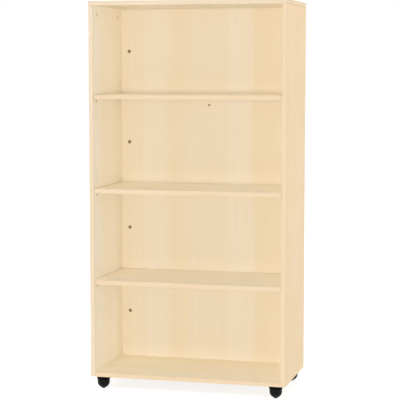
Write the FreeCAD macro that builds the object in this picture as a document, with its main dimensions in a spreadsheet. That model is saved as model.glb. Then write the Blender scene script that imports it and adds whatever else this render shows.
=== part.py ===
"""Open office shelving unit of melamine-faced boards: a carcass with a thick back, three loose shelves on
supports, cam fittings and dowels in its joints, and four levelling feet. Millimetres, +Z up, front at -Y,
with the origin on the floor under the middle of the unit."""

import FreeCAD, Part
import math
import os
import re

import Sketcher
from FreeCAD import Placement, Rotation, Vector

doc = FreeCAD.newDocument("OfficeShelvingUnit")

# Driving sizes. Heights of shelves, cams and the wall hole are measured from the carcass's underside.
sizes = {
    "unit_width": 800,
    "unit_depth": 400,
    "carcass_height": 1508,
    "board_thickness": 18,
    "edging_thickness": 2,
    "edging_rounding": 1,
    "back_recess": 12,
    "lower_shelf_height": 394,
    "middle_shelf_height": 763,
    "upper_shelf_height": 1138,
    "shelf_end_gap": 1,
    "shelf_front_setback": 2,
    "shelf_rear_gap": 1,
    "support_setback": 37,
    "support_hole_pitch": 32,
    "support_stem_diameter": 5,
    "support_stem_length": 9,
    "support_stem_drop": 8,
    "support_plate": 1.5,
    "support_width": 10,
    "support_reach": 9,
    "support_leg_height": 13,
    "fit_clearance": 0.05,
    "hole_end_gap": 0.5,
    "cam_diameter": 15,
    "cam_depth": 13,
    "cam_edge_distance": 34,
    "cam_cross_length": 8,
    "cam_cross_width": 1.8,
    "cam_cross_depth": 2,
    "cam_slot_gap": 0.4,
    "cap_diameter": 17,
    "cap_thickness": 1,
    "cap_chamfer": 0.4,
    "cap_peg_length": 1.8,
    "top_cam_setback": 52,
    "bottom_cam_setback": 101,
    "lowest_cam_height": 212,
    "lower_cam_height": 571,
    "upper_cam_height": 934,
    "highest_cam_height": 1315,
    "bolt_bore_diameter": 8,
    "bolt_shank_diameter": 6,
    "bolt_neck_diameter": 4,
    "bolt_neck_length": 2,
    "bolt_head_diameter": 7,
    "bolt_head_length": 3.5,
    "bolt_thread_diameter": 5,
    "bolt_thread_length": 11,
    "dowel_diameter": 8,
    "dowel_face_depth": 11,
    "dowel_edge_depth": 20,
    "dowel_chamfer": 1,
    "dowel_cam_spacing": 32,
    "back_dowel_inset": 150,
    "wall_hole_diameter": 5,
    "wall_recess_diameter": 10,
    "wall_recess_depth": 5,
    "wall_hole_height": 1091,
    "foot_height": 52,
    "foot_inset": 43,
    "foot_setback": 35,
    "socket_diameter": 54,
    "socket_depth": 12,
    "socket_wall": 1.8,
    "socket_plate": 4,
    "hub_diameter": 22,
    "hub_depth": 12,
    "nut_width": 16,
    "nut_height": 8,
    "nut_seat_gap": 0.1,
    "spindle_diameter": 10,
    "spindle_reach": 13.5,
    "spindle_seat_length": 22,
    "spindle_chamfer": 1,
    "spindle_bore_gap": 1,
    "glide_gap": 0.3,
    "tip_diameter": 18,
    "tip_height": 3.6,
    "tip_flat_diameter": 11,
    "tip_stem_diameter": 8,
    "tip_stem_length": 7,
    "foot_screw_circle": 33,
    "foot_screw_diameter": 3.5,
    "foot_screw_length": 14,
    "foot_screw_head_diameter": 6.5,
    "foot_screw_head_height": 2,
}

sheet = doc.addObject("Spreadsheet::Sheet", "Sizes")
for row, (name, value) in enumerate(sizes.items(), 1):
    sheet.set(f"A{row}", name.replace("_", " "))
    sheet.set(f"B{row}", str(value))
    sheet.setAlias(f"B{row}", name)
doc.recompute()

# Counts that don't change with the sizes.
holes_per_row = 7
screws_per_foot = 3

# Rounding of edging goes no further than this part of its thickness, and lengths below tiny count as nothing.
most_rounding = 0.6
tiny = 0.001

# Lengths and places that follow from the driving sizes.
inner_width = "(unit_width - 2 * board_thickness)"
board_depth = "(unit_depth - edging_thickness)"
side_height = "(carcass_height - board_thickness)"
inner_height = "(carcass_height - 2 * board_thickness)"
half_board = "(board_thickness / 2)"
inner_side = "(unit_width / 2 - board_thickness)"
board_front = "(edging_thickness - unit_depth / 2)"
back_front = "(unit_depth / 2 - back_recess - board_thickness)"
back_middle = f"({back_front} + {half_board})"
top_under = f"(foot_height + {side_height})"
top_cam_rows = ("(top_cam_setback - unit_depth / 2)", f"({back_front} - top_cam_setback)")
top_dowel_rows = (f"({top_cam_rows[0]} + dowel_cam_spacing)", f"({top_cam_rows[1]} - dowel_cam_spacing)")
bottom_cam_rows = ("(bottom_cam_setback - unit_depth / 2)", "(unit_depth / 2 - bottom_cam_setback)")
bottom_dowel_rows = (
    f"({bottom_cam_rows[0]} - dowel_cam_spacing)",
    f"({bottom_cam_rows[1]} + dowel_cam_spacing)",
)
support_rows = ("(support_setback - unit_depth / 2)", f"({back_front} - support_setback)")
shelf_heights = {name: f"{name}_shelf_height" for name in ("upper", "middle", "lower")}
back_cam_heights = ("lowest_cam_height", "lower_cam_height", "upper_cam_height", "highest_cam_height")
back_dowel_columns = (f"(back_dowel_inset - {inner_side})", f"({inner_side} - back_dowel_inset)")
foot_columns = {"left": "(foot_inset - unit_width / 2)", "right": "(unit_width / 2 - foot_inset)"}
foot_rows = {"front": "(foot_setback - unit_depth / 2)", "rear": "(unit_depth / 2 - foot_setback)"}
bolt_hole = "(bolt_thread_diameter + 2 * fit_clearance)"
bolt_hole_depth = "(bolt_thread_length + hole_end_gap)"
cam_bore_depth = "(cam_depth + hole_end_gap)"
dowel_hole = "dowel_diameter"

nodes = []
cuts = []


def tied(formula):
    """Puts the sheet's name in front of each size in a formula."""
    return re.sub(r"[a-z]\w*", lambda word: f"Sizes.{word[0]}" if word[0] in sizes else word[0], formula)


def put(thing, x="0", y="0", z="0"):
    """Ties a thing's position to formulas of the sizes."""
    for axis, formula in zip("xyz", (x, y, z)):
        thing.setExpression(f"Placement.Base.{axis}", tied(formula))


def new_body(label):
    body = doc.addObject("PartDesign::Body", label)
    body.Label = label
    return body


def origin_feature(body, role):
    return next(feature for feature in body.Origin.OriginFeatures if feature.Role == role)


def new_sketch(body, plane, offset="0"):
    """Starts a sketch on one of the body's own origin planes, moved along that plane's normal."""
    sketch = body.newObject("Sketcher::SketchObject", f"{body.Label}_sketch")
    sketch.AttachmentSupport = [(origin_feature(body, plane), "")]
    sketch.MapMode = "FlatFace"
    sketch.setExpression("AttachmentOffset.Base.z", tied(offset))
    return sketch


def constrain(sketch, kind, *where, formula=None):
    """Adds a constraint, and ties its value to a formula where it has one."""
    rough_value = (1.0,) if formula else ()
    number = sketch.addConstraint(Sketcher.Constraint(kind, *where, *rough_value))
    if formula:
        sketch.setExpression(f"Constraints[{number}]", tied(formula))


def place_point(sketch, geometry, end, u, v):
    """Holds a point of a sketch at (u, v) from the sketch's origin, with "0" meaning on the axis."""
    if u == "0":
        constrain(sketch, "PointOnObject", geometry, end, -2)
    else:
        constrain(sketch, "DistanceX", -1, 1, geometry, end, formula=u)
    if v == "0":
        constrain(sketch, "PointOnObject", geometry, end, -1)
    else:
        constrain(sketch, "DistanceY", -1, 1, geometry, end, formula=v)


def draw_outline(sketch, corners, rough=10.0):
    """Draws a closed outline of straight lines through corners given as (u, v) formulas."""
    count = len(corners)
    turns = [2 * math.pi * n / count for n in range(count)]
    spread = [Vector(rough * math.cos(turn), rough * math.sin(turn), 0) for turn in turns]
    for n in range(count):
        sketch.addGeometry(Part.LineSegment(spread[n], spread[(n + 1) % count]))
    for n, (u, v) in enumerate(corners):
        constrain(sketch, "Coincident", n - 1 if n else count - 1, 2, n, 1)
        place_point(sketch, n, 1, u, v)


def draw_rectangle(sketch, u, v, width, height):
    """Draws a rectangle whose corner nearest the origin is at (u, v)."""
    far_u, far_v = f"{u} + {width}", f"{v} + {height}"
    draw_outline(sketch, [(u, v), (far_u, v), (far_u, far_v), (u, far_v)])


def draw_centred_rectangle(sketch, width, height):
    """Draws a rectangle with its middle on the origin."""
    half_u, half_v = f"{width} / 2", f"{height} / 2"
    corners = [(f"-{half_u}", f"-{half_v}"), (half_u, f"-{half_v}"), (half_u, half_v), (f"-{half_u}", half_v)]
    draw_outline(sketch, corners)


def draw_circles(sketch, centres, diameter):
    for u, v in centres:
        circle = sketch.addGeometry(Part.Circle(Vector(1, 1, 0), Vector(0, 0, 1), 1))
        place_point(sketch, circle, 3, u, v)
        constrain(sketch, "Diameter", circle, formula=diameter)


def pad(body, sketch, length, reverse=False):
    feature = body.newObject("PartDesign::Pad", f"{body.Label}_pad")
    feature.Profile = sketch
    feature.Reversed = reverse
    feature.setExpression("Length", tied(length))
    return feature


def pocket(body, sketch, depth, reverse=False):
    before = body.Tip
    feature = body.newObject("PartDesign::Pocket", f"{body.Label}_pocket")
    feature.Profile = sketch
    feature.Reversed = reverse
    feature.setExpression("Length", tied(depth))
    cuts.append((before, feature))
    return feature


def turn(body, outline, arcs=()):
    """Turns an outline of (radius, height) corners about Z. A side named in arcs, by the number of the corner
    it starts from, is an arc with its middle on the axis."""
    sketch = new_sketch(body, "XZ_Plane")
    if not arcs:
        draw_outline(sketch, outline)
    else:
        draw_turned_outline(sketch, outline, arcs)
    feature = body.newObject("PartDesign::Revolution", f"{body.Label}_turning")
    feature.Profile = sketch
    feature.ReferenceAxis = (sketch, ["V_Axis"])
    feature.Angle = 360
    return feature


def draw_turned_outline(sketch, corners, arcs):
    """Draws a closed outline in which some sides are arcs with their middles on the sketch's upright axis.
    The arcs run from a lower, inner corner to a higher, outer one."""
    count = len(corners)
    rough = 20.0
    for n in range(count):
        if n in arcs:
            circle = Part.Circle(Vector(0, rough, 0), Vector(0, 0, 1), rough)
            sketch.addGeometry(Part.ArcOfCircle(circle, math.radians(-65), math.radians(0)))
            constrain(sketch, "PointOnObject", n, 3, -2)
        else:
            sketch.addGeometry(Part.LineSegment(Vector(rough, n, 0), Vector(rough, n + 1, 0)))
    for n, (u, v) in enumerate(corners):
        constrain(sketch, "Coincident", n - 1 if n else count - 1, 2, n, 1)
        place_point(sketch, n, 1, u, v)


def keep(part):
    """Marks a finished part as a node, named by its label."""
    nodes.append(part)
    return part


class Board:
    """A board with square edges. size is (x, y, z) and corner is its lowest corner, as formulas."""

    # Each face: the plane to draw on, the axis of the size that it stands off by, that offset's sign, and whether
    # the drill runs along the plane's normal.
    faces = {
        "left": ("YZ_Plane", None, "", True),
        "right": ("YZ_Plane", "x", "", False),
        "front": ("XZ_Plane", None, "", False),
        "rear": ("XZ_Plane", "y", "-", True),
        "under": ("XY_Plane", None, "", True),
        "top": ("XY_Plane", "z", "", False),
    }

    def __init__(self, label, size, corner):
        self.size = dict(zip("xyz", size))
        self.corner = dict(zip("xyz", corner))
        self.body = new_body(label)
        sketch = new_sketch(self.body, "XY_Plane")
        draw_rectangle(sketch, "0", "0", size[0], size[1])
        self.blank = pad(self.body, sketch, size[2])
        put(self.body, *corner)
        keep(self.body)

    def drill(self, face, places, diameter, depth):
        """Drills holes from a face. Places are formulas in the unit's own frame, on that face's two axes."""
        plane, stand_off, sign, reverse = self.faces[face]
        offset = f"{sign}({self.size[stand_off]})" if stand_off else "0"
        first, second = plane[:2].lower()
        centres = [(f"{a} - ({self.corner[first]})", f"{b} - ({self.corner[second]})") for a, b in places]
        sketch = new_sketch(self.body, plane, offset)
        draw_circles(sketch, centres, diameter)
        return pocket(self.body, sketch, depth, reverse)

    def repeat_upwards(self, feature, pitch, count):
        """Repeats a drilled row straight up."""
        before = self.body.Tip
        pattern = self.body.newObject("PartDesign::LinearPattern", f"{self.body.Label}_row")
        pattern.Originals = [feature]
        pattern.Direction = (origin_feature(self.body, "Z_Axis"), [""])
        pattern.setExpression("Length", tied(f"{pitch} * {count - 1}"))
        pattern.Occurrences = count
        self.body.Tip = pattern
        cuts.append((before, pattern))


def edging(label, size, corner):
    """A strip of edging whose two long front edges are rounded."""
    strip = Board(label, size, corner)
    doc.recompute()
    shape = strip.blank.Shape
    longest = max(shape.BoundBox.XLength, shape.BoundBox.ZLength)
    names = []
    for number, edge in enumerate(shape.Edges, 1):
        on_front = edge.BoundBox.YMax < tiny
        if on_front and edge.Length > longest - tiny:
            names.append(f"Edge{number}")
    rounding = strip.body.newObject("PartDesign::Fillet", f"{label}_rounding")
    rounding.Base = (strip.blank, names)
    rounding.setExpression("Radius", tied(f"min(edging_rounding; {most_rounding} * edging_thickness)"))
    cuts.append((strip.blank, rounding))
    return strip


def group(label, pattern_part, places):
    """A node of like pieces: a link to the pattern part at each place, given as (x, y, z, rotation)."""
    links = []
    for number, (x, y, z, rotation) in enumerate(places, 1):
        link = doc.addObject("App::Link", f"{label}_{number}")
        link.setLink(pattern_part)
        link.Placement = Placement(Vector(), rotation)
        put(link, x, y, z)
        links.append(link)
    together = doc.addObject("Part::Compound", label)
    together.Label = label
    together.Links = links
    return keep(together)


# Top panel, laid over the sides, with edging on its front and both ends.
top_corner = ("edging_thickness - unit_width / 2", board_front, top_under)
top = Board("top_panel", ("unit_width - 2 * edging_thickness", board_depth, "board_thickness"), top_corner)
edging(
    "top_front_edging",
    ("unit_width", "edging_thickness", "board_thickness"),
    ("-unit_width / 2", "-unit_depth / 2", top_under),
)
for side, corner_x in (("left", "-unit_width / 2"), ("right", "unit_width / 2 - edging_thickness")):
    Board(
        f"top_{side}_end_edging",
        ("edging_thickness", board_depth, "board_thickness"),
        (corner_x, board_front, top_under),
    )

# Bottom panel, between the sides.
bottom_corner = (f"-{inner_side}", board_front, "foot_height")
bottom = Board("bottom_panel", (inner_width, board_depth, "board_thickness"), bottom_corner)
edging(
    "bottom_front_edging",
    (inner_width, "edging_thickness", "board_thickness"),
    (f"-{inner_side}", "-unit_depth / 2", "foot_height"),
)

# Back panel, between the sides, the top and the bottom.
back_corner = (f"-{inner_side}", back_front, "foot_height + board_thickness")
back = Board("back_panel", (inner_width, "board_thickness", inner_height), back_corner)

# Side panels, from the carcass's underside to the top panel.
sides = {}
for side, corner_x in (("left", "-unit_width / 2"), ("right", inner_side)):
    sides[side] = Board(
        f"{side}_side_panel",
        ("board_thickness", board_depth, side_height),
        (corner_x, board_front, "foot_height"),
    )
    edging(
        f"{side}_side_front_edging",
        ("board_thickness", "edging_thickness", side_height),
        (corner_x, "-unit_depth / 2", "foot_height"),
    )

# Holes for shelf supports, in rows of spare holes above and below each shelf.
for side, inner_face in (("left", "right"), ("right", "left")):
    for height in shelf_heights.values():
        stem_height = f"(foot_height + {height} - board_thickness - support_stem_drop)"
        lowest = f"({stem_height} - support_hole_pitch * {holes_per_row // 2})"
        row = sides[side].drill(
            inner_face,
            [(y, lowest) for y in support_rows],
            "support_stem_diameter",
            "support_stem_length + hole_end_gap",
        )
        sides[side].repeat_upwards(row, "support_hole_pitch", holes_per_row)

# Cam lock, with the bolt's slot open towards +X and a cross recess in its face.
cam = new_body("cam_lock_pattern")
cam_radius = "(cam_diameter / 2 - fit_clearance)"
turn(cam, [("0", "0"), (cam_radius, "0"), (cam_radius, "cam_depth"), ("0", "cam_depth")])
slot_width = "(bolt_head_diameter + 2 * cam_slot_gap)"
slot_depth = f"(cam_depth - {half_board} + {slot_width} / 2)"
chamber = new_sketch(cam, "XY_Plane")
draw_circles(chamber, [("0", "0")], slot_width)
pocket(cam, chamber, slot_depth, reverse=True)
slot = new_sketch(cam, "XY_Plane")
draw_outline(
    slot,
    [
        ("0", f"-{slot_width} / 2"),
        ("cam_diameter", f"-{slot_width} / 2"),
        ("cam_diameter", f"{slot_width} / 2"),
        ("0", f"{slot_width} / 2"),
    ],
)
pocket(cam, slot, slot_depth, reverse=True)
cross_bars = (("cam_cross_length", "cam_cross_width"), ("cam_cross_width", "cam_cross_length"))
for bar_width, bar_height in cross_bars:
    cross = new_sketch(cam, "XY_Plane", "cam_depth")
    draw_centred_rectangle(cross, bar_width, bar_height)
    pocket(cam, cross, "cam_cross_depth")

# Cover cap of a cam: a thin disc with a cross-shaped peg that goes into the cam's recess.
cap = new_body("cam_cap_pattern")
turn(
    cap,
    [
        ("0", "0"),
        ("cap_diameter / 2", "0"),
        ("cap_diameter / 2", "cap_thickness - cap_chamfer"),
        ("cap_diameter / 2 - cap_chamfer", "cap_thickness"),
        ("0", "cap_thickness"),
    ],
)
for bar_width, bar_height in cross_bars:
    peg = new_sketch(cap, "XY_Plane")
    draw_centred_rectangle(peg, f"({bar_width} - 2 * fit_clearance)", f"({bar_height} - 2 * fit_clearance)")
    pad(cap, peg, "cap_peg_length", reverse=True)

# Cam bolt, standing on its head, with its thread at the top.
bolt = new_body("cam_bolt_pattern")
bolt_edge = "(cam_edge_distance + bolt_head_length / 2)"
neck_end = "(bolt_head_length + bolt_neck_length)"
turn(
    bolt,
    [
        ("0", "0"),
        ("bolt_head_diameter / 2", "0"),
        ("bolt_head_diameter / 2", "bolt_head_length"),
        ("bolt_neck_diameter / 2", "bolt_head_length"),
        ("bolt_neck_diameter / 2", neck_end),
        ("bolt_shank_diameter / 2", neck_end),
        ("bolt_shank_diameter / 2", bolt_edge),
        ("bolt_thread_diameter / 2", bolt_edge),
        ("bolt_thread_diameter / 2", f"{bolt_edge} + bolt_thread_length"),
        ("0", f"{bolt_edge} + bolt_thread_length"),
    ],
)

# Dowel with chamfered ends.
dowel = new_body("dowel_pattern")
dowel_length = "(dowel_face_depth + dowel_edge_depth)"
dowel_radius = "(dowel_diameter / 2 - fit_clearance)"
turn(
    dowel,
    [
        ("0", "0"),
        (f"{dowel_radius} - dowel_chamfer", "0"),
        (dowel_radius, "dowel_chamfer"),
        (dowel_radius, f"{dowel_length} - dowel_chamfer"),
        (f"{dowel_radius} - dowel_chamfer", dowel_length),
        ("0", dowel_length),
    ],
)

# Directions in which a pattern part's own +Z, or a cam's slot, points.
to_right = Rotation(Vector(0, 1, 0), 90)
to_left = Rotation(Vector(0, 1, 0), -90)
upright = Rotation()
upside_down_right = Rotation(Vector(1, 0, 0), 180)
upside_down_left = Rotation(Vector(0, 1, 0), 180)
to_front_right = Rotation(Vector(1, 0, 0), 90)
to_front_left = Rotation(Vector(1, 0, 0), 90) * Rotation(Vector(0, 0, 1), 180)
facing_right_slot_up = Rotation(Vector(0, 0, 1), Vector(0, -1, 0), Vector(1, 0, 0))
facing_left_slot_up = Rotation(Vector(0, 0, 1), Vector(0, 1, 0), Vector(-1, 0, 0))

# Joints of the top: capped cams in the sides' inner faces, with bolts and dowels standing up into the top.
cam_level = f"({top_under} - cam_edge_distance)"
side_middles = {"left": f"({half_board} - unit_width / 2)", "right": f"(unit_width / 2 - {half_board})"}
top_cams, top_caps, top_bolts, top_dowels = [], [], [], []
for side, inner_face, sign, facing in (
    ("left", "right", "-", facing_right_slot_up),
    ("right", "left", "", facing_left_slot_up),
):
    panel = sides[side]
    middle = side_middles[side]
    panel.drill(inner_face, [(y, cam_level) for y in top_cam_rows], "cam_diameter", cam_bore_depth)
    panel.drill("top", [(middle, y) for y in top_cam_rows], "bolt_bore_diameter", "cam_edge_distance")
    panel.drill("top", [(middle, y) for y in top_dowel_rows], dowel_hole, "dowel_edge_depth + hole_end_gap")
    top.drill("under", [(middle, y) for y in top_cam_rows], bolt_hole, bolt_hole_depth)
    top.drill("under", [(middle, y) for y in top_dowel_rows], dowel_hole, "dowel_face_depth + hole_end_gap")
    cam_seat = f"{sign}({inner_side} + cam_depth)"
    for y in top_cam_rows:
        top_cams.append((cam_seat, y, cam_level, facing))
        top_caps.append((f"{sign}{inner_side}", y, cam_level, facing))
        top_bolts.append((middle, y, f"{top_under} - {bolt_edge}", upright))
    for y in top_dowel_rows:
        top_dowels.append((middle, y, f"{top_under} - dowel_edge_depth", upright))
group("top_cam_locks", cam, top_cams)
group("top_cam_caps", cap, top_caps)
group("top_cam_bolts", bolt, top_bolts)
group("top_dowels", dowel, top_dowels)

# Joints of the bottom: cams in its underside, with bolts and dowels lying out into the sides.
bottom_level = f"(foot_height + {half_board})"
bottom_cams, bottom_bolts, bottom_dowels = [], [], []
for side, inner_face, sign, outwards, facing in (
    ("left", "right", "-", to_left, upside_down_left),
    ("right", "left", "", to_right, upside_down_right),
):
    panel = sides[side]
    cam_column = f"{sign}({inner_side} - cam_edge_distance)"
    panel.drill(inner_face, [(y, bottom_level) for y in bottom_cam_rows], bolt_hole, bolt_hole_depth)
    panel.drill(
        inner_face,
        [(y, bottom_level) for y in bottom_dowel_rows],
        dowel_hole,
        "dowel_face_depth + hole_end_gap",
    )
    bottom.drill("under", [(cam_column, y) for y in bottom_cam_rows], "cam_diameter", cam_bore_depth)
    bottom.drill(
        side,
        [(y, bottom_level) for y in bottom_cam_rows],
        "bolt_bore_diameter",
        "cam_edge_distance",
    )
    bottom.drill(
        side,
        [(y, bottom_level) for y in bottom_dowel_rows],
        dowel_hole,
        "dowel_edge_depth + hole_end_gap",
    )
    for y in bottom_cam_rows:
        bottom_cams.append((cam_column, y, "foot_height + cam_depth", facing))
        bottom_bolts.append((f"{sign}({inner_side} - {bolt_edge})", y, bottom_level, outwards))
    for y in bottom_dowel_rows:
        bottom_dowels.append((f"{sign}({inner_side} - dowel_edge_depth)", y, bottom_level, outwards))
group("bottom_cam_locks", cam, bottom_cams)
group("bottom_cam_bolts", bolt, bottom_bolts)
group("bottom_dowels", dowel, bottom_dowels)

# Joints of the back: cams in its front face, with bolts lying out into the sides, and dowels above and below.
back_cams, back_bolts, back_dowels = [], [], []
back_cam_levels = [f"(foot_height + {height})" for height in back_cam_heights]
for side, inner_face, sign, outwards, facing in (
    ("left", "right", "-", to_left, to_front_left),
    ("right", "left", "", to_right, to_front_right),
):
    panel = sides[side]
    cam_column = f"{sign}({inner_side} - cam_edge_distance)"
    panel.drill(inner_face, [(back_middle, z) for z in back_cam_levels], bolt_hole, bolt_hole_depth)
    back.drill("front", [(cam_column, z) for z in back_cam_levels], "cam_diameter", cam_bore_depth)
    back.drill(side, [(back_middle, z) for z in back_cam_levels], "bolt_bore_diameter", "cam_edge_distance")
    for z in back_cam_levels:
        back_cams.append((cam_column, f"{back_front} + cam_depth", z, facing))
        back_bolts.append((f"{sign}({inner_side} - {bolt_edge})", back_middle, z, outwards))
back_foot = "(foot_height + board_thickness)"
dowel_places = [(x, back_middle) for x in back_dowel_columns]
back.drill("under", dowel_places, dowel_hole, "dowel_edge_depth + hole_end_gap")
back.drill("top", dowel_places, dowel_hole, "dowel_edge_depth + hole_end_gap")
bottom.drill("top", dowel_places, dowel_hole, "dowel_face_depth + hole_end_gap")
top.drill("under", dowel_places, dowel_hole, "dowel_face_depth + hole_end_gap")
for x, y in dowel_places:
    back_dowels.append((x, y, f"{back_foot} - dowel_face_depth", upright))
    back_dowels.append((x, y, f"{top_under} - dowel_edge_depth", upright))
group("back_cam_locks", cam, back_cams)
group("back_cam_bolts", bolt, back_bolts)
group("back_dowels", dowel, back_dowels)

# Hole in the middle of the back, for a screw into the wall, with a recess for the screw's head.
wall_hole_place = [("0", "foot_height + wall_hole_height")]
back.drill("front", wall_hole_place, "wall_recess_diameter", "wall_recess_depth")
back.drill("front", wall_hole_place, "wall_hole_diameter", "board_thickness")

# Shelf support: a plate bent to an L, with a stem that goes into the side.
support = new_body("shelf_support_pattern")
tab_under = "(support_leg_height - support_plate)"
plate_outline = new_sketch(support, "XZ_Plane")
draw_outline(
    plate_outline,
    [
        ("support_stem_length", "0"),
        ("support_stem_length + support_plate", "0"),
        ("support_stem_length + support_plate", tab_under),
        ("support_stem_length + support_reach", tab_under),
        ("support_stem_length + support_reach", "support_leg_height"),
        ("support_stem_length", "support_leg_height"),
    ],
)
plate = pad(support, plate_outline, "support_width")
plate.Midplane = True
stem_outline = new_sketch(support, "YZ_Plane")
draw_circles(
    stem_outline,
    [("0", "support_leg_height - support_stem_drop")],
    "support_stem_diameter - 2 * fit_clearance",
)
pad(support, stem_outline, "support_stem_length + support_plate / 2")

# Shelves, each lying on four supports.
for name, height in shelf_heights.items():
    shelf_under = f"(foot_height + {height} - board_thickness)"
    shelf_half = f"({inner_side} - shelf_end_gap)"
    shelf_front = "(shelf_front_setback - unit_depth / 2)"
    shelf_board_front = f"({shelf_front} + edging_thickness)"
    shelf_depth = f"({back_front} - shelf_rear_gap - {shelf_board_front})"
    Board(
        f"{name}_shelf",
        (f"2 * {shelf_half}", shelf_depth, "board_thickness"),
        (f"-{shelf_half}", shelf_board_front, shelf_under),
    )
    edging(
        f"{name}_shelf_front_edging",
        (f"2 * {shelf_half}", "edging_thickness", "board_thickness"),
        (f"-{shelf_half}", shelf_front, shelf_under),
    )
    seat = f"({inner_side} + support_stem_length)"
    level = f"{shelf_under} - support_leg_height"
    turned_round = Rotation(Vector(0, 0, 1), 180)
    places = [(f"-{seat}", y, level, upright) for y in support_rows]
    places += [(seat, y, level, turned_round) for y in support_rows]
    group(f"{name}_shelf_supports", support, places)

# Hexagon nut, held in each foot's socket.
nut = new_body("foot_nut_pattern")
hexagon = nut.newObject("PartDesign::AdditivePrism", "foot_nut_hexagon")
hexagon.Polygon = 6
hexagon.setExpression("Circumradius", tied("nut_width / sqrt(3)"))
hexagon.setExpression("Height", tied("nut_height"))
nut_bore = new_sketch(nut, "XY_Plane", "nut_height")
draw_circles(nut_bore, [("0", "0")], "spindle_diameter + 2 * fit_clearance")
pocket(nut, nut_bore, "nut_height")

# Foot screw, head down.
screw = new_body("foot_screw_pattern")
screw_end = "(foot_screw_head_height + foot_screw_length)"
turn(
    screw,
    [
        ("0", "0"),
        ("foot_screw_head_diameter / 2", "0"),
        ("foot_screw_head_diameter / 2", "foot_screw_head_height"),
        ("foot_screw_diameter / 2", "foot_screw_head_height"),
        ("foot_screw_diameter / 2", f"{screw_end} - foot_screw_diameter"),
        ("0", screw_end),
    ],
)


def screw_places(x, y):
    """Where a foot's screws stand, round its middle."""
    for number in range(screws_per_foot):
        angle = 2 * math.pi * number / screws_per_foot + math.pi / 2
        along, across = round(math.cos(angle), 6), round(math.sin(angle), 6)
        yield f"({x} + foot_screw_circle / 2 * {along})", f"({y} + foot_screw_circle / 2 * {across})"


def foot_socket(label):
    """Cup that is screwed under the bottom panel, with a hub that holds the nut."""
    body = new_body(label)
    outer, inner = "socket_diameter / 2", "(socket_diameter / 2 - socket_wall)"
    plate_under = "foot_height - socket_plate"
    bore = "(spindle_diameter / 2 + glide_gap)"
    turn(
        body,
        [
            (bore, "foot_height - hub_depth"),
            ("hub_diameter / 2", "foot_height - hub_depth"),
            ("hub_diameter / 2", plate_under),
            (inner, plate_under),
            (inner, "foot_height - socket_depth"),
            (outer, "foot_height - socket_depth"),
            (outer, "foot_height"),
            (bore, "foot_height"),
        ],
    )
    before = body.Tip
    seat = body.newObject("PartDesign::SubtractivePrism", f"{label}_nut_seat")
    seat.Polygon = 6
    seat.AttachmentSupport = [(origin_feature(body, "XY_Plane"), "")]
    seat.MapMode = "FlatFace"
    seat.setExpression("AttachmentOffset.Base.z", tied("foot_height - nut_height - nut_seat_gap"))
    seat.setExpression("Circumradius", tied("nut_width / sqrt(3) + nut_seat_gap"))
    seat.setExpression("Height", tied("nut_height + nut_seat_gap"))
    cuts.append((before, seat))
    for diameter, depth in (
        ("foot_screw_head_diameter + 2 * nut_seat_gap", "foot_screw_head_height + nut_seat_gap"),
        ("foot_screw_diameter + 2 * fit_clearance", "socket_plate"),
    ):
        sketch = new_sketch(body, "XY_Plane", plate_under)
        draw_circles(sketch, screw_places("0", "0"), diameter)
        pocket(body, sketch, depth, reverse=True)
    return body


def foot_glide(label):
    """Round-bottomed glide that runs up into the socket, hollow round the hub, with seats for the spindle and
    the tip."""
    body = new_body(label)
    outer = "(socket_diameter / 2 - socket_wall - glide_gap)"
    hollow = "(hub_diameter / 2 + 2 * glide_gap)"
    hollow_floor = "(foot_height - hub_depth - spindle_bore_gap)"
    spindle_seat = "(spindle_diameter / 2 + fit_clearance)"
    spindle_floor = f"({hollow_floor} - spindle_seat_length)"
    stem_seat = "(tip_stem_diameter / 2 + fit_clearance)"
    glide_under = "(tip_height + glide_gap)"
    top_edge = "(foot_height - socket_plate - glide_gap)"
    bowl_drop = f"sqrt({outer} ^ 2 - (tip_diameter / 2) ^ 2)"
    turn(
        body,
        [
            ("tip_diameter / 2", glide_under),
            (outer, f"{glide_under} + {bowl_drop}"),
            (outer, top_edge),
            (hollow, top_edge),
            (hollow, hollow_floor),
            (spindle_seat, hollow_floor),
            (spindle_seat, spindle_floor),
            ("0", spindle_floor),
            ("0", f"{glide_under} + tip_stem_length"),
            (stem_seat, f"{glide_under} + tip_stem_length"),
            (stem_seat, glide_under),
        ],
        arcs=(0,),
    )
    return body


def foot_spindle(label):
    """Threaded spindle, as a plain rod, standing in the glide and going up through the nut."""
    body = new_body(label)
    foot = "(foot_height - hub_depth - spindle_bore_gap - spindle_seat_length)"
    head = "(foot_height + spindle_reach)"
    turn(
        body,
        [
            ("0", foot),
            ("spindle_diameter / 2", foot),
            ("spindle_diameter / 2", f"{head} - spindle_chamfer"),
            ("spindle_diameter / 2 - spindle_chamfer", head),
            ("0", head),
        ],
    )
    return body


def foot_tip(label):
    """Tip pad that stands on the floor, with a stem that the glide turns on."""
    body = new_body(label)
    turn(
        body,
        [
            ("0", "0"),
            ("tip_flat_diameter / 2", "0"),
            ("tip_diameter / 2", "tip_height"),
            ("tip_stem_diameter / 2", "tip_height"),
            ("tip_stem_diameter / 2", "tip_height + tip_stem_length"),
            ("0", "tip_height + tip_stem_length"),
        ],
    )
    return body


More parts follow.
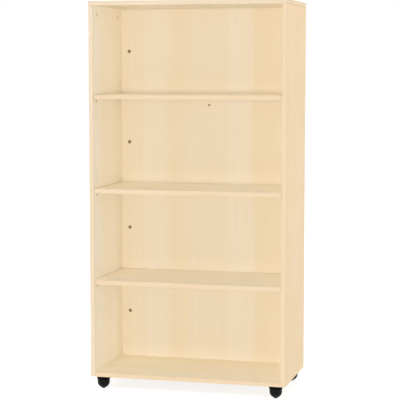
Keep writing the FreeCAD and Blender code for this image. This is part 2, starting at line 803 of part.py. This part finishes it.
# Four levelling feet under the bottom panel's corners.
foot_makers = {"socket": foot_socket, "glide": foot_glide, "spindle": foot_spindle, "tip": foot_tip}
foot_nuts, foot_screws = [], []
for row, y in foot_rows.items():
    for column, x in foot_columns.items():
        name = f"{row}_{column}_foot"
        for piece, make in foot_makers.items():
            part = keep(make(f"{name}_{piece}"))
            put(part, x, y)
        foot_nuts.append((x, y, "foot_height - nut_height", upright))
        for screw_x, screw_y in screw_places(x, y):
            foot_screws.append((screw_x, screw_y, "foot_height - socket_plate", upright))
foot_middles = [(x, y) for y in foot_rows.values() for x in foot_columns.values()]
bottom.drill(
    "under",
    foot_middles,
    "spindle_diameter + 2 * spindle_bore_gap",
    "spindle_reach + hole_end_gap",
)
bottom.drill(
    "under",
    [(x, y) for x, y, level, rotation in foot_screws],
    "foot_screw_diameter + 2 * fit_clearance",
    "foot_screw_length + foot_screw_head_height - socket_plate + hole_end_gap",
)
group("foot_nuts", nut, foot_nuts)
group("foot_screws", screw, foot_screws)

doc.recompute()

# Nothing is written unless every object is sound and every cut has taken material away.
for thing in doc.Objects:
    if {"Invalid", "Error"} & set(thing.State):
        raise RuntimeError(f"{thing.Label} failed: {thing.State}")
for before, after in cuts:
    if after.Shape.Volume > before.Shape.Volume - tiny:
        raise RuntimeError(f"{after.Label} cuts nothing")
for part in nodes:
    if part.Shape.isNull() or not part.Shape.isValid():
        raise RuntimeError(f"{part.Label} has no sound shape")

os.makedirs("parts", exist_ok=True)
for part in nodes:
    part.Shape.exportStep(f"parts/{part.Label}.step")
print(f"{len(nodes)} nodes written")
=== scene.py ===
"""Look of an open office shelving unit of pale maple boards: surfaces, studio floor, light and camera."""
import math

import bpy
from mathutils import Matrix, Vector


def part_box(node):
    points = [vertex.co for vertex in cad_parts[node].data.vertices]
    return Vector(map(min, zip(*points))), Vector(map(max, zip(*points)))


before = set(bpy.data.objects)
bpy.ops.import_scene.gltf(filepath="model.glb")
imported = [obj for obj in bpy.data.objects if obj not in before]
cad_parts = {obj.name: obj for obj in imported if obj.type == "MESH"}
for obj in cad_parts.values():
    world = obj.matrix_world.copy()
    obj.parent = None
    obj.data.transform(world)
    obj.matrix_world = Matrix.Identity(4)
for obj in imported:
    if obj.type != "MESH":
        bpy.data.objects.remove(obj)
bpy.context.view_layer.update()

# Back panel. An 18 mm particle board faced on both sides with printed melamine, grain upright, drilled for
# cam locks and for one wall screw. Its print is laid in broad leaves that run on behind all the shelves.


def tone(red, green, blue):
    """A screen colour of 0 to 255 as the linear colour that shaders take."""
    parts = [value / 255 for value in (red, green, blue)]
    return tuple(p / 12.92 if p <= 0.04045 else ((p + 0.055) / 1.055) ** 2.4 for p in parts) + (1.0,)


def add(tree, kind, inputs, output=0, **settings):
    """Adds a shader node and returns one of its outputs. An input is a plain value or a node's output."""
    node = tree.nodes.new(kind)
    for name, value in settings.items():
        setattr(node, name, value)
    for name, value in inputs.items():
        if isinstance(value, bpy.types.NodeSocket):
            tree.links.new(value, node.inputs[name])
        else:
            node.inputs[name].default_value = value
    return node.outputs[output]


def calc(tree, operation, *values, clamp=False):
    """One step of arithmetic."""
    return add(tree, "ShaderNodeMath", dict(enumerate(values)), operation=operation, use_clamp=clamp)


def mix(tree, factor, first, second, blend="MIX"):
    """One colour laid over another."""
    return add(tree, "ShaderNodeMix", {0: factor, 6: first, 7: second}, 2, data_type="RGBA", blend_type=blend)


def spread(tree, value, low, high, to_low=0.0, to_high=1.0):
    """Stretches a value's range from low..high to another, and holds it there."""
    ranges = {0: value, 1: low, 2: high, 3: to_low, 4: to_high}
    return add(tree, "ShaderNodeMapRange", ranges, clamp=True)


def noise(tree, vector, scale, detail=2.0, roughness=0.5):
    """Soft random marks, scale to the metre."""
    inputs = {"Vector": vector, "Scale": scale, "Detail": detail, "Roughness": roughness}
    return add(tree, "ShaderNodeTexNoise", inputs)


def split_axes(tree, place):
    """The three axes of a place, as outputs 0 to 2."""
    axes = tree.nodes.new("ShaderNodeSeparateXYZ")
    tree.links.new(place, axes.inputs[0])
    return axes.outputs


def new_material(name):
    """An empty node material with its surface shader and output joined, and the place on the piece."""
    material = bpy.data.materials.new(name)
    material.use_nodes = True
    tree = material.node_tree
    tree.nodes.clear()
    surface = tree.nodes.new("ShaderNodeBsdfPrincipled")
    output = tree.nodes.new("ShaderNodeOutputMaterial")
    tree.links.new(surface.outputs[0], output.inputs["Surface"])
    place = add(tree, "ShaderNodeTexCoord", {}, "Object")
    return material, tree, surface, place


def finish_surface(tree, surface, color, rough, height, strength, depth):
    """Joins a surface's colour, roughness and fine relief, its depth in metres, to the shader. A roughness
    that is the same all over is a plain number."""
    tree.links.new(color, surface.inputs["Base Color"])
    if isinstance(rough, bpy.types.NodeSocket):
        tree.links.new(rough, surface.inputs["Roughness"])
    else:
        surface.inputs["Roughness"].default_value = rough
    bump = add(tree, "ShaderNodeBump", {"Height": height, "Strength": strength, "Distance": depth})
    tree.links.new(bump, surface.inputs["Normal"])


def dress(node_name, material):
    """Gives a carried-over CAD node its material."""
    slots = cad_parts[node_name].data.materials
    slots.clear()
    slots.append(material)


def laid_leaves(tree, sideways, low, high, leaves):
    """Broad leaves of the print: how pale it is at some places across the grain, blended between them."""
    ramp = tree.nodes.new("ShaderNodeValToRGB")
    ramp.color_ramp.interpolation = "EASE"
    stops = ramp.color_ramp.elements
    while len(stops) < len(leaves):
        stops.new(0.5)
    for stop, (where, share) in zip(stops, leaves):
        stop.position = (where - low) / (high - low)
        stop.color = (share, share, share, 1.0)
    from_low = calc(tree, "SUBTRACT", sideways, float(low))
    tree.links.new(calc(tree, "DIVIDE", from_low, float(high - low)), ramp.inputs[0])
    return ramp.outputs[0]


def faced_board(node_name, across, along, seed, inner, inner_light_tint, leaves=None):
    """Melamine-faced board. across and along are the axes (0 to 2) across and along the printed grain, inner
    tells which of its faces look into the unit (-1 the low one, 1 the high one, 0 both), the tint after it is
    painted light, multiplied into those faces to offset the shade inside the unit, and leaves are places
    across the grain, in metres, with the share of the paler ground there."""
    ground, pale = tone(246, 216, 169), tone(249, 223, 185)
    figure_tone, streak_tone, light_tone = tone(232, 203, 160), tone(229, 198, 154), tone(247, 228, 199)
    pore_tone, fleck_tone, glue_tone = tone(204, 168, 122), tone(210, 175, 130), tone(170, 132, 88)
    dark_chip, pale_chip = tone(148, 114, 76), tone(194, 160, 116)
    skin, glue_line = 0.0004, 0.00025

    # Width and length of each kind of mark in the print, in metres.
    wander_size, band_size, arc_size = (0.35, 0.9), (0.075, 1.6), (0.11, 1.3)
    streak_size, light_size = (0.009, 0.45), (0.014, 0.6)
    pore_size, fleck_size = (0.0011, 0.05), (0.0018, 0.011)

    low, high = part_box(node_name)
    material, tree, surface, place = new_material(f"{node_name}_melamine")
    axes = split_axes(tree, place)
    straight = calc(tree, "ADD", axes[across], seed)
    run = calc(tree, "ADD", axes[along], seed * 3.7)
    thickness = 3 - across - along
    through = axes[thickness]

    def grain_space(sideways, size):
        """Space in which a mark has the given width and length, and changes from one face to the other."""
        width, length = size
        parts = {
            0: calc(tree, "DIVIDE", sideways, width),
            1: calc(tree, "DIVIDE", run, length),
            2: calc(tree, "MULTIPLY", through, 20.0),
        }
        return add(tree, "ShaderNodeCombineXYZ", parts)

    # Slow wander of the grain, so that no streak runs dead straight.
    wander = noise(tree, grain_space(straight, wander_size), 1.0, 1.0)
    side = calc(tree, "ADD", straight, spread(tree, wander, 0.3, 0.7, -0.012, 0.012))

    # Soft bands of the print, and its broad leaves where it has them.
    bands = noise(tree, grain_space(side, band_size), 1.0, 1.5)
    pale_part = spread(tree, bands, 0.42, 0.62, 0.15, 0.65)
    if leaves:
        laid = laid_leaves(tree, calc(tree, "SUBTRACT", side, seed), low[across], high[across], leaves)
        pale_part = mix(tree, 0.9, pale_part, laid)
    color = mix(tree, pale_part, ground, pale)

    # Flame figure: wide nested arcs, as where a log is cut off its middle.
    waves = {"Scale": 1.0, "Distortion": 5.0, "Detail": 1.5, "Detail Scale": 0.8}
    arcs = add(tree, "ShaderNodeTexWave", {"Vector": grain_space(side, arc_size), **waves}, 1)
    figure = calc(tree, "MULTIPLY", spread(tree, arcs, 0.55, 0.95), spread(tree, bands, 0.35, 0.7))
    color = mix(tree, calc(tree, "MULTIPLY", figure, 0.10), color, figure_tone)

    # Growth streaks, light lines, fine pores and short flecks.
    streaks = noise(tree, grain_space(side, streak_size), 1.0, 3.0, 0.6)
    color = mix(tree, spread(tree, streaks, 0.48, 0.78, 0.0, 0.11), color, streak_tone)
    lights = noise(tree, grain_space(side, light_size), 1.0, 2.0)
    color = mix(tree, spread(tree, lights, 0.52, 0.8, 0.0, 0.13), color, light_tone)
    pore_lines = spread(tree, noise(tree, grain_space(side, pore_size), 1.0, 2.0), 0.62, 0.74)
    color = mix(tree, calc(tree, "MULTIPLY", pore_lines, 0.11), color, pore_tone)
    fleck_spots = spread(tree, noise(tree, grain_space(side, fleck_size), 1.0, 1.0), 0.70, 0.78)
    color = mix(tree, calc(tree, "MULTIPLY", fleck_spots, 0.10), color, fleck_tone)

    # Painted light: the faces that look into the unit, or the whole board where both do, are multiplied by a
    # tint of their own, mostly paler and less yellow, that offsets the shade and warm bounce light inside the
    # unit.
    outer_color = color
    color = mix(tree, 1.0, outer_color, inner_light_tint, "MULTIPLY")
    if inner < 0:
        inward = calc(tree, "LESS_THAN", through, float(low[thickness]) + skin)
        color = mix(tree, inward, outer_color, color)
    elif inner > 0:
        inward = calc(tree, "GREATER_THAN", through, float(high[thickness]) - skin)
        color = mix(tree, inward, outer_color, color)

    # Drilled walls show the particle board under the skin, chips of several browns.
    inside = 1.0
    for axis in range(3):
        from_low = calc(tree, "GREATER_THAN", axes[axis], float(low[axis]) + skin)
        from_high = calc(tree, "LESS_THAN", axes[axis], float(high[axis]) - skin)
        inside = calc(tree, "MULTIPLY", inside, calc(tree, "MULTIPLY", from_low, from_high))
    chips = add(tree, "ShaderNodeTexVoronoi", {"Vector": place, "Scale": 700.0}, 1)
    core = mix(tree, add(tree, "ShaderNodeRGBToBW", {0: chips}), dark_chip, pale_chip)
    color = mix(tree, inside, color, core)

    # Hairline where the front edging is glued on.
    if node_name != "back_panel":
        glue = calc(tree, "LESS_THAN", axes[1], float(low[1]) + glue_line)
        color = mix(tree, calc(tree, "MULTIPLY", glue, 0.35), color, glue_tone)

    # Satin face with a slow change of sheen, rougher where it is drilled.
    surface.inputs["Specular IOR Level"].default_value = 0.25
    rough = spread(tree, noise(tree, place, 9.0, 4.0), 0.3, 0.7, 0.44, 0.54)
    rough = calc(tree, "ADD", rough, calc(tree, "MULTIPLY", inside, 0.4), clamp=True)
    height = calc(tree, "SUBTRACT", calc(tree, "MULTIPLY", streaks, 0.4), pore_lines)
    finish_surface(tree, surface, color, rough, height, 0.25, 0.00006)
    dress(node_name, material)


# Painted light: the back's inner face is tinted less red and more blue to offset the shade and warm bounce
# light inside the unit.
back_light_tint = (0.85, 0.972, 1.214, 1.0)
back_leaves = [
    (-0.382, 0.25), (-0.29, 0.45), (-0.26, 0.95), (-0.19, 0.7), (-0.155, 0.05), (-0.11, 0.05), (-0.08, 0.4),
    (0.07, 0.4), (0.10, 0.82), (0.18, 0.75), (0.205, 0.0), (0.382, 0.2),
]
faced_board("back_panel", 0, 2, 1.31, -1, back_light_tint, back_leaves)

# Side panels. The same faced board, grain upright, with rows of small holes for shelf supports on their
# inner faces and cam locks near the top.
# Painted light: the sides' inner faces are tinted paler and less yellow to offset the shade inside the unit.
side_light_tint = (1.026, 1.236, 1.67, 1.0)
faced_board("left_side_panel", 1, 2, 4.17, 1, side_light_tint)
faced_board("right_side_panel", 1, 2, 7.53, -1, side_light_tint)

# Top and bottom panels. Faced board with its grain from side to side; the top lies over the sides and the
# bottom stands between them, both drawn up by cam locks.
# Painted light: the top's underside and the bottom's upper face are tinted paler and less yellow to offset
# the shade inside the unit.
top_light_tint, bottom_light_tint = (1.025, 1.21, 1.61, 1.0), (1.006, 1.174, 1.462, 1.0)
faced_board("top_panel", 1, 0, 2.89, -1, top_light_tint)
faced_board("bottom_panel", 1, 0, 5.71, 1, bottom_light_tint)

# Shelves. Three faced boards with their grain from side to side and the same print on both faces. They lie
# loose on steel supports and are lifted out to the front.
# Painted light: the shelves are tinted paler and less yellow on both faces to offset the shade inside the
# unit.
shelf_light_tint = (0.982, 1.155, 1.49, 1.0)
for number, name in enumerate(("upper_shelf", "middle_shelf", "lower_shelf")):
    faced_board(name, 1, 0, 9.13 + 1.77 * number, 0, shelf_light_tint)

# Edging. Strips of 2 mm plastic with fine drawn lines, hot-glued to the boards' front edges and the top's
# ends and scraped round. The front strips are set darker than the boards, a painted shade that offsets the
# strong front light, and the top's and the left side's front strips are a little paler and less yellow. The
# end strips have the boards' own print and are darker along their lower edge, at the joint under them.


def drawn_out(tree, place, width, length, along):
    """Space in which marks have the given width, and the given length along one axis, in metres."""
    stretch = [1 / width] * 3
    stretch[along] = 1 / length
    return add(tree, "ShaderNodeVectorMath", {0: place, 1: tuple(stretch)}, operation="MULTIPLY")


# Painted shade: the front strips' tones are set darker than the boards' to offset the strong front light; the
# top's and the left side's are a little paler and less yellow than the others.
shaded_front_tones = (tone(208, 185, 152), tone(212, 190, 160), tone(197, 169, 131))
shaded_pale_front_tones = (tone(207, 188, 159), tone(211, 193, 168), tone(196, 173, 138))
end_roll = (tone(240, 210, 163), tone(244, 217, 176), tone(226, 194, 146))
strips = {
    "top_front_edging": (0, shaded_pale_front_tones),
    "top_left_end_edging": (1, end_roll),
    "top_right_end_edging": (1, end_roll),
    "bottom_front_edging": (0, shaded_front_tones),
    "left_side_front_edging": (2, shaded_pale_front_tones),
    "right_side_front_edging": (2, shaded_front_tones),
    "upper_shelf_front_edging": (0, shaded_front_tones),
    "middle_shelf_front_edging": (0, shaded_front_tones),
    "lower_shelf_front_edging": (0, shaded_front_tones),
}
line_width, line_length = 0.0022, 0.16
cloud_width, cloud_length = 0.02, 0.5
joint_dark_full, joint_dark_end = 0.0009, 0.0014
for number, (name, (along, (ground, pale, line))) in enumerate(strips.items()):
    material, tree, surface, place = new_material(f"{name}_plastic")
    shifted = add(tree, "ShaderNodeVectorMath", {0: place, 1: (number * 1.3, number * 0.7, number * 2.1)})
    fine = noise(tree, drawn_out(tree, shifted, line_width, line_length, along), 1.0, 3.0)
    slow = noise(tree, drawn_out(tree, shifted, cloud_width, cloud_length, along), 1.0, 2.0)
    color = mix(tree, spread(tree, slow, 0.35, 0.65), ground, pale)
    color = mix(tree, spread(tree, fine, 0.5, 0.8, 0.0, 0.2), color, line)
    # The end strips darken within about 1.4 mm of their lower edge, at the joint with the board below.
    if name.endswith("end_edging"):
        lowest = float(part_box(name)[0][2])
        height = split_axes(tree, place)[2]
        joint_dark = spread(tree, height, lowest + joint_dark_full, lowest + joint_dark_end, 0.8, 0.0)
        color = mix(tree, joint_dark, color, tone(140, 108, 72))
    finish_surface(tree, surface, color, spread(tree, fine, 0.3, 0.7, 0.36, 0.46), fine, 0.2, 0.00004)
    dress(name, material)

# Cam locks. Die-cast zinc, dull and darkened, turned a half turn with a cross driver to draw the joint
# tight; their edges are rubbed bright.
dark_zinc, pale_zinc, rubbed_zinc = tone(128, 107, 81), tone(150, 127, 99), tone(176, 158, 132)
material, tree, surface, place = new_material("cast_zinc")
grains = noise(tree, place, 1400.0, 3.0)
blotches = noise(tree, place, 260.0, 2.0)
color = mix(tree, spread(tree, blotches, 0.3, 0.7), dark_zinc, pale_zinc)
rubbed = spread(tree, add(tree, "ShaderNodeNewGeometry", {}, "Pointiness"), 0.52, 0.6)
color = mix(tree, calc(tree, "MULTIPLY", rubbed, 0.3), color, rubbed_zinc)
surface.inputs["Metallic"].default_value = 0.35
finish_surface(tree, surface, color, spread(tree, grains, 0.3, 0.7, 0.42, 0.62), grains, 0.3, 0.00008)
for name in ("top_cam_locks", "bottom_cam_locks", "back_cam_locks"):
    dress(name, material)

# Cover caps. Thin plastic discs pressed into the crosses of the top's cam locks, moulded in a pale pinkish
# beige near the boards' own colour, with a fine matt texture.
cap_beige, pale_cap_beige = tone(226, 202, 174), tone(233, 211, 184)
material, tree, surface, place = new_material("cap_plastic")
mottle = noise(tree, place, 220.0, 3.0)
speckle = noise(tree, place, 2400.0, 2.0)
color = mix(tree, spread(tree, mottle, 0.3, 0.7), cap_beige, pale_cap_beige)
finish_surface(tree, surface, color, spread(tree, speckle, 0.3, 0.7, 0.48, 0.6), speckle, 0.25, 0.00004)
dress("top_cam_caps", material)

# Steel fittings. Zinc-plated cam bolts, foot nuts and screws and spindles, and nickel-plated shelf
# supports: bright, with faint turned lines and a little bloom.
corners = [f"{row}_{column}" for row in ("front", "rear") for column in ("left", "right")]
zinc_plated = ["top_cam_bolts", "bottom_cam_bolts", "back_cam_bolts", "foot_nuts", "foot_screws"]
zinc_plated += [f"{corner}_foot_spindle" for corner in corners]
nickel_plated = ["upper_shelf_supports", "middle_shelf_supports", "lower_shelf_supports"]
turned_width, turned_pitch = 1 / 150, 0.00025
for title, names, dull, bright in (
    ("zinc_plate", zinc_plated, tone(168, 170, 172), tone(205, 207, 208)),
    ("nickel_plate", nickel_plated, tone(186, 182, 172), tone(218, 214, 204)),
):
    material, tree, surface, place = new_material(title)
    bloom = noise(tree, place, 180.0, 3.0)
    lines = noise(tree, drawn_out(tree, place, turned_width, turned_pitch, 2), 1.0, 2.0)
    color = mix(tree, spread(tree, bloom, 0.3, 0.7), dull, bright)
    surface.inputs["Metallic"].default_value = 1.0
    finish_surface(tree, surface, color, spread(tree, lines, 0.3, 0.7, 0.22, 0.38), lines, 0.15, 0.00003)
    for name in names:
        dress(name, material)

# Dowels. Turned beech, left bare, with short dark rays along the grain. They are glued into one board and
# pushed into the next, and line the two up.
beech, beech_ray = tone(214, 178, 130), tone(168, 124, 80)
ray_width, ray_length = 0.0008, 0.009
for name, along in (("top_dowels", 2), ("bottom_dowels", 0), ("back_dowels", 2)):
    material, tree, surface, place = new_material(f"{name}_beech")
    rays = noise(tree, drawn_out(tree, place, ray_width, ray_length, along), 1.0, 2.0)
    color = mix(tree, spread(tree, rays, 0.5, 0.75), beech, beech_ray)
    finish_surface(tree, surface, color, 0.7, rays, 0.4, 0.0001)
    dress(name, material)

# Feet. Sockets, glides and tips moulded in black plastic with a spark-eroded texture; the sockets are
# screwed up under the bottom, and the glides and tips are scuffed grey near the floor.
scuffed_full, scuffed_end = 0.004, 0.022
for piece, base, scuffed, finish, gloss in (
    ("socket", tone(5, 5, 6), tone(12, 12, 13), 0.45, 0.05),
    ("glide", tone(9, 10, 12), tone(23, 24, 26), 0.40, 0.13),
    ("tip", tone(14, 14, 15), tone(40, 39, 38), 0.55, 0.13),
):
    material, tree, surface, place = new_material(f"black_{piece}_plastic")
    spark = noise(tree, place, 2600.0, 2.0)
    scuffs = noise(tree, place, 320.0, 4.0, 0.7)
    near_floor = spread(tree, split_axes(tree, place)[2], scuffed_full, scuffed_end, 1.0, 0.25)
    worn = calc(tree, "MULTIPLY", near_floor, spread(tree, scuffs, 0.5, 0.75))
    color = mix(tree, worn, base, scuffed)
    surface.inputs["Specular IOR Level"].default_value = gloss
    rough = spread(tree, scuffs, 0.3, 0.7, finish, finish + 0.16)
    finish_surface(tree, surface, color, rough, spark, 0.35, 0.00005)
    for corner in corners:
        dress(f"{corner}_foot_{piece}", material)

# Studio floor. A plain white sweep that throws soft light back up. To the camera and in reflections it is
# lifted to white, and it keeps the unit's own soft shadow.
reach = 40.0
floor_mesh = bpy.data.meshes.new("floor")
outline = [(-reach, -reach, 0.0), (reach, -reach, 0.0), (reach, reach, 0.0), (-reach, reach, 0.0)]
floor_mesh.from_pydata(outline, [], [(0, 1, 2, 3)])
floor = bpy.data.objects.new("floor", floor_mesh)
bpy.context.scene.collection.objects.link(floor)


def seen_directly(tree):
    """One for rays from the camera or sent on by a glossy or clear surface, nought for soft light."""
    path = tree.nodes.new("ShaderNodeLightPath")
    glossy_or_clear = calc(tree, "ADD", path.outputs["Is Glossy Ray"], path.outputs["Is Transmission Ray"])
    return calc(tree, "ADD", path.outputs["Is Camera Ray"], glossy_or_clear, clamp=True)


floor_white, floor_lift = (0.8, 0.8, 0.8, 1.0), 0.8
seen_grey, seen_pale_grey = (0.41, 0.41, 0.41, 1.0), (0.43, 0.43, 0.43, 1.0)
material, tree, surface, place = new_material("white_floor")
seen_color = mix(tree, noise(tree, place, 3.0, 3.0), seen_grey, seen_pale_grey)
tree.links.new(mix(tree, seen_directly(tree), floor_white, seen_color), surface.inputs["Base Color"])
surface.inputs["Roughness"].default_value = 1.0
surface.inputs["Specular IOR Level"].default_value = 0.0
surface.inputs["Emission Color"].default_value = (1.0, 1.0, 1.0, 1.0)
tree.links.new(calc(tree, "MULTIPLY", seen_directly(tree), floor_lift), surface.inputs["Emission Strength"])
floor_mesh.materials.append(material)

# Light. A white surround and far soft boxes level with the unit, in front and to both sides, so that no
# shelf shades the back much. Raised soft boxes are turned down on the outer sides, a high light falls on
# the shelves and a weak one comes from behind.
surround = 0.525
world = bpy.data.worlds.new("studio")
bpy.context.scene.world = world
world.use_nodes = True
tree = world.node_tree
tree.nodes.clear()
level = spread(tree, seen_directly(tree), 0.0, 1.0, surround, 1.0)
background = add(tree, "ShaderNodeBackground", {"Color": (1.0, 1.0, 1.0, 1.0), "Strength": level})
world_output = tree.nodes.new("ShaderNodeOutputWorld")
tree.links.new(background, world_output.inputs["Surface"])


def hang(lamp, place, turn):
    """Puts a lamp into the scene. The camera and glossy surfaces see the white surround in its place."""
    holder = bpy.data.objects.new(lamp.name, lamp)
    holder.location = place
    holder.rotation_euler = turn
    holder.visible_camera = False
    holder.visible_glossy = False
    bpy.context.scene.collection.objects.link(holder)


def soft_box(name, width, height, power, place, turn):
    """A rectangular lamp."""
    lamp = bpy.data.lights.new(name, "AREA")
    lamp.shape = "RECTANGLE"
    lamp.size, lamp.size_y = width, height
    lamp.energy = power
    hang(lamp, place, turn)


upright = math.pi / 2
distance, middle = 20.0, 1.0
for name, azimuth, width, strength in (
    ("front_soft_box", 8.0, 2.0, 1.36),
    ("front_right_soft_box", 66.0, 4.0, 0.44),
    ("front_left_soft_box", -65.0, 4.0, 0.9),
):
    turned = math.radians(azimuth)
    place = (distance * math.sin(turned), -distance * math.cos(turned), middle)
    power = strength * math.pi * distance ** 2
    soft_box(name, width, 2 * middle, power, place, (upright, 0.0, turned))
out, up, droop = 3.2, 2.5, 0.43
for name, hand in (("right_soft_box", 1), ("left_soft_box", -1)):
    soft_box(name, 0.4, 1.0, 12.0, (out * hand, 0.0, up), (upright - droop, 0.0, hand * upright))
stand, height = 3.0, 2.0
for name, azimuth, elevation, width, strength in (
    ("high_soft_light", 0.0, 43.5, 11.0, 0.82),
    ("rear_soft_light", 185.0, 20.0, 30.0, 0.6),
):
    lamp = bpy.data.lights.new(name, "SUN")
    lamp.angle = math.radians(width)
    lamp.energy = strength
    turned, raised = math.radians(azimuth), math.radians(elevation)
    place = (stand * math.sin(turned), -stand * math.cos(turned), height)
    hang(lamp, place, (upright - raised, 0.0, turned))

# Camera. A long lens at standing height, a little to the right of the unit and tipped down, as the
# photograph was taken. Its place was fitted to the unit's edges.
lens = bpy.data.cameras.new("camera")
lens.sensor_width = 36.0
lens.lens = 126.35
camera = bpy.data.objects.new("camera", lens)
camera.location = (1.4505, -5.5051, 1.2856)
turn, tilt = 0.2568, 0.0918
camera.rotation_euler = (upright - tilt, 0.0, turn)
bpy.context.scene.collection.objects.link(camera)
bpy.context.scene.camera = camera
bpy.context.scene.view_settings.view_transform = "Standard"
